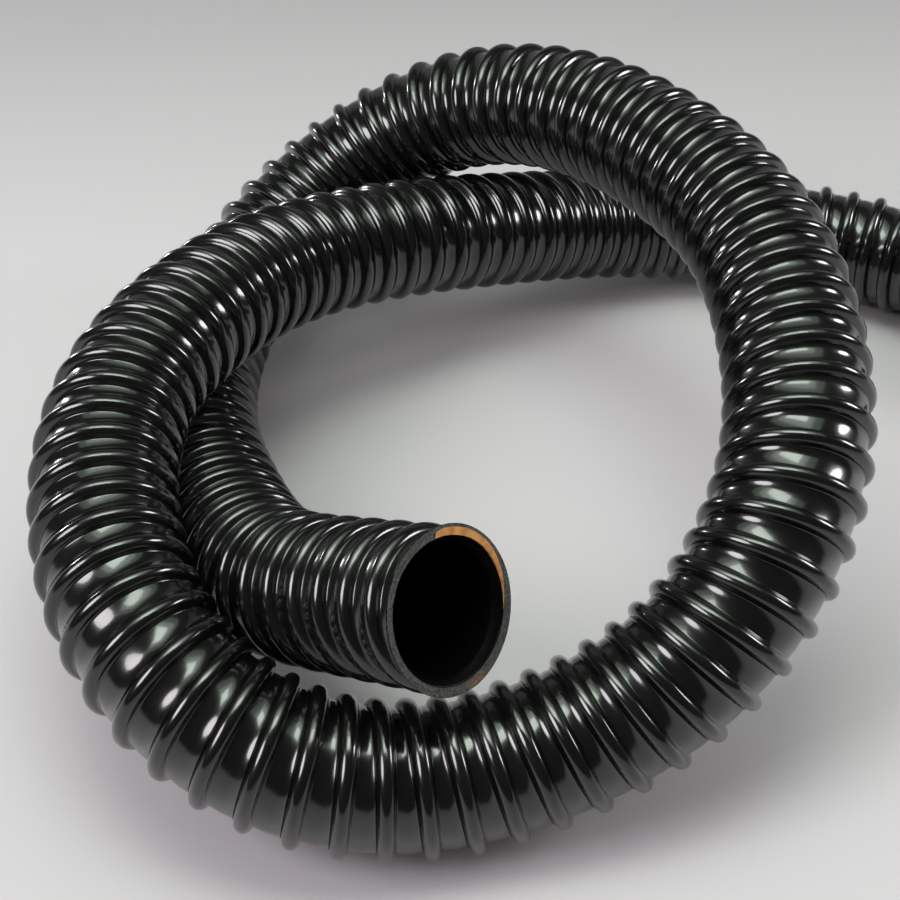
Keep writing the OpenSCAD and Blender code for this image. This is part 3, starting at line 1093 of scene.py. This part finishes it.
def add_floor(context, settings):
    size = BOARD_SIZE
    mesh = bpy.data.meshes.new("floor")
    corners = [(-size, -size, 0), (size, -size, 0), (size, size, 0), (-size, size, 0)]
    mesh.from_pydata(corners, [], [(0, 1, 2, 3)])
    mesh.materials.append(painted_board(settings))
    floor = bpy.data.objects.new("floor", mesh)
    context.scene.collection.objects.link(floor)
    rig.stage(floor)


def add_lamps(context):
    for name, (place, aim, width, height, watts, colour) in LAMPS.items():
        light = bpy.data.lights.new(name, "AREA")
        light.shape = "RECTANGLE" if height else "DISK"
        light.size = width
        light.size_y = height or width
        light.energy = watts
        light.color = linear(colour)[:3]
        lamp = bpy.data.objects.new(name, light)
        lamp.location = place
        lamp.rotation_euler = (Vector(aim) - Vector(place)).to_track_quat("-Z", "Y").to_euler()
        lamp.visible_glossy = name not in FILLS
        lamp.visible_camera = False
        context.scene.collection.objects.link(lamp)


def add_room(context):
    world = bpy.data.worlds.new("room")
    world.use_nodes = True
    tree = world.node_tree
    tree.nodes.clear()
    in_gloss = add_node(tree, "ShaderNodeLightPath").outputs["Is Glossy Ray"]
    strength = add_node(
        tree, MAP_RANGE, {"Value": in_gloss, "To Min": ROOM_LIGHT, "To Max": ROOM_GLOSS}
    )
    room = add_node(
        tree, "ShaderNodeBackground", {"Color": linear("#e2e2e2"), "Strength": strength}
    )
    add_node(tree, "ShaderNodeOutputWorld", {"Surface": room})
    context.scene.world = world
    context.scene.view_settings.view_transform = "Standard"


def add_piece(name, built, slot, *replaced):
    """Bakes a piece and binds it to the part. built is a tree with its inputs' values."""
    piece = bake(name, *built)
    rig.ride(piece, "root")
    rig.slot(piece, slot)
    if replaced:
        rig.replaces(piece, *replaced)
    return piece


class HOSE_OT_cover(bpy.types.Operator):
    """Builds the ribbed outer skin along the whole hose"""

    bl_idname = "hose.cover"
    bl_label = "Ribbed cover"

    def execute(self, context):
        settings = context.scene.hose_settings
        built = cover_tree(settings, extruded_pvc())
        add_piece("hose_cover", built, "cover", "run_cover", "cut_end_cover", "far_end_cover")
        return {"FINISHED"}


class HOSE_OT_liner(bpy.types.Operator):
    """Builds the smooth inner wall along the whole hose"""

    bl_idname = "hose.liner"
    bl_label = "Smooth liner"

    def execute(self, context):
        built = liner_tree(smooth_liner_pvc())
        add_piece("hose_liner", built, "liner", "run_liner", "cut_end_liner", "far_end_liner")
        return {"FINISHED"}


class HOSE_OT_cuts(bpy.types.Operator):
    """Builds the torn surface that the saw left on each end"""

    bl_idname = "hose.cuts"
    bl_label = "Sawn faces"

    def execute(self, context):
        settings = context.scene.hose_settings
        material = sawn_pvc()
        add_piece("cut_end_face", face_tree(settings, material, False), "cover")
        add_piece("far_end_face", face_tree(settings, material, True), "cover")
        return {"FINISHED"}


class HOSE_OT_cores(bpy.types.Operator):
    """Builds the rigid strip's last turns, which show in the cuts"""

    bl_idname = "hose.cores"
    bl_label = "Spiral core"

    def execute(self, context):
        settings = context.scene.hose_settings
        material = rigid_core_pvc()
        add_piece("cut_end_strip", core_tree(settings, material, False), "core", "cut_end_core")
        add_piece("far_end_strip", core_tree(settings, material, True), "core", "far_end_core")
        return {"FINISHED"}


class HOSE_OT_declare(bpy.types.Operator):
    bl_idname = "hose.declare"
    bl_label = "Declare the hose"

    def execute(self, context):
        objects = context.scene.objects
        names = ("hose_liner", "cut_end_face", "far_end_face", "cut_end_strip", "far_end_strip")
        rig.cord(
            objects["hose_cover"],
            exit=CENTRE[0],
            length=HOSE_LENGTH,
            diameter=2 * CREST_R,
            far_end="bare",
            stiffness="stiff",
            lay="loose",
            path=CENTRE[::PATH_STEP],
            with_pieces=[objects[name] for name in names],
        )
        return {"FINISHED"}


class HOSE_PT_panel(bpy.types.Panel):
    """Lists the hose's sizes and its pieces"""

    bl_label = "Ribbed Suction Hose"
    bl_idname = "HOSE_PT_panel"
    bl_space_type = "VIEW_3D"
    bl_region_type = "UI"
    bl_category = "Hose"

    def draw(self, context):
        for name in HoseSettings.__annotations__:
            self.layout.prop(context.scene.hose_settings, name)
        for operator in OPERATORS:
            self.layout.operator(operator.bl_idname)


OPERATORS = (
    HOSE_OT_stage,
    HOSE_OT_cover,
    HOSE_OT_liner,
    HOSE_OT_cuts,
    HOSE_OT_cores,
    HOSE_OT_declare,
)
CLASSES = (HoseSettings, *OPERATORS, HOSE_PT_panel)


def register():
    for cls in CLASSES:
        bpy.utils.register_class(cls)
    bpy.types.Scene.hose_settings = PointerProperty(type=HoseSettings)


def unregister():
    del bpy.types.Scene.hose_settings
    for cls in reversed(CLASSES):
        bpy.utils.unregister_class(cls)


def main():
    register()
    bpy.ops.hose.stage()
    bpy.ops.hose.cover()
    bpy.ops.hose.liner()
    bpy.ops.hose.cuts()
    bpy.ops.hose.cores()
    bpy.ops.hose.declare()
    sizes = {
        "cad": [list(corner) for corner in CAD_BOUNDS],
        "visual": [list(corner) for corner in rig.bounds()],
    }
    with open("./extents.json", "w", encoding="utf-8") as out:
        json.dump(sizes, out)


if __name__ == "__main__":
    main()
